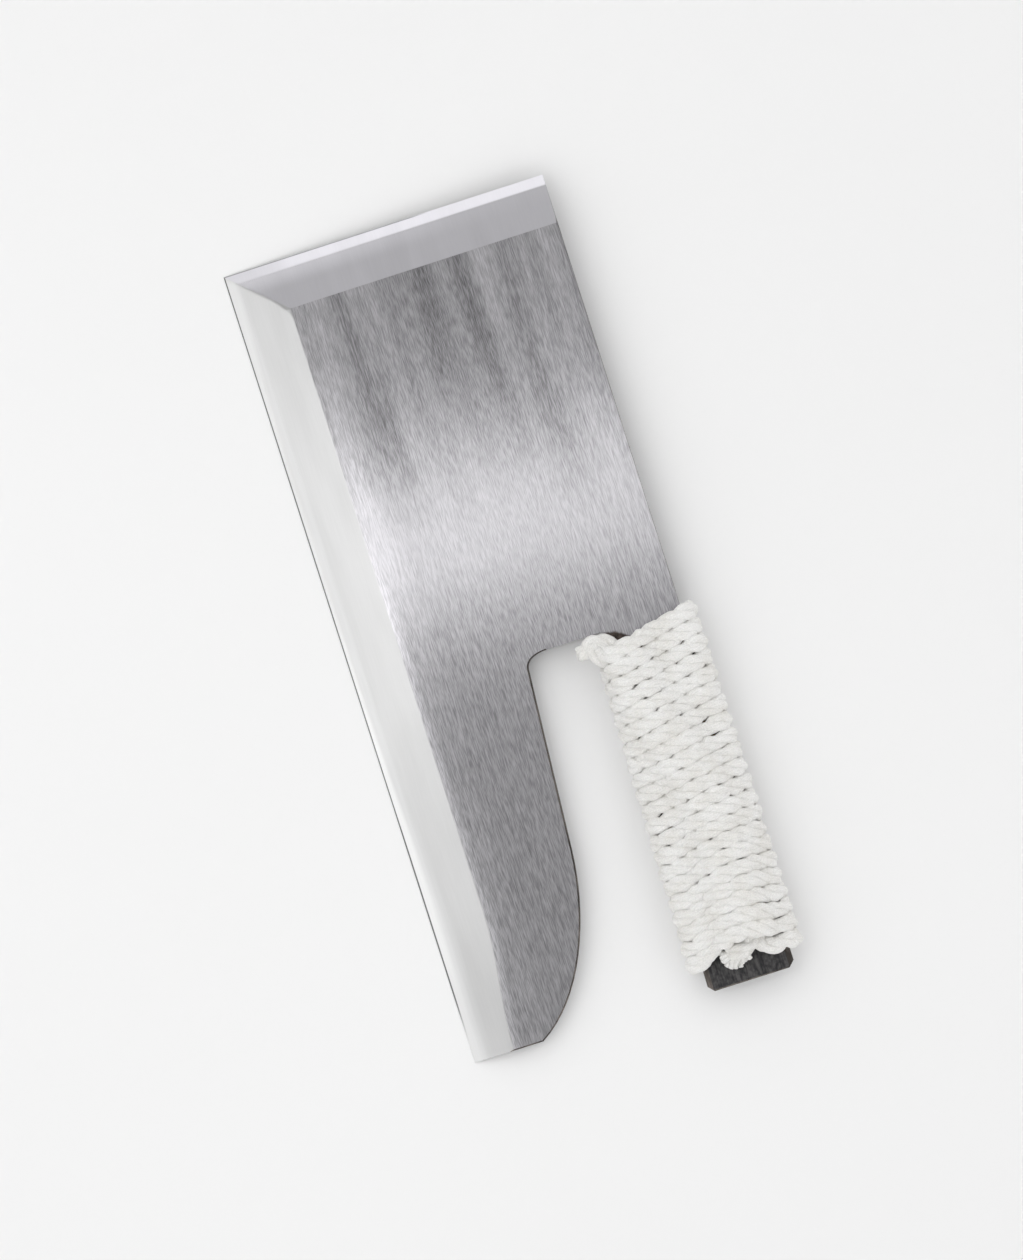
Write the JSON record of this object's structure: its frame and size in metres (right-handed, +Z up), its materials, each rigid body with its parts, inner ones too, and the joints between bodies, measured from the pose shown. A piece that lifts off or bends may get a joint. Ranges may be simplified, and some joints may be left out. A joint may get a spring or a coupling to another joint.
{
  "type": "soba knife",
  "caption": "Long rectangular noodle knife, ground on one side, with a deep heel beside a finger notch and a flat tang wound with white cotton cord.",
  "frame": {"origin": "middle of the bottom of the knife's box, on the surface that the knife lies on", "axes": "+X from the cutting edge towards the spine, +Y from the heel to the front end, +Z up, with the ground face up and the knife resting on its edge and on the underside of the cord"},
  "size_m": [0.1274, 0.3014, 0.0207],
  "materials": {
    "soft_iron": "brushed along the blade, satin on the bevels, dark forge scale on the tang",
    "hard_steel": "fine polish",
    "cotton_cord": "soft laid cotton"
  },
  "bodies": {
    "root": {"blade_body": "soft_iron", "edge_steel": "hard_steel", "handle_cord": "cotton_cord"}
  },
  "joints": []
}
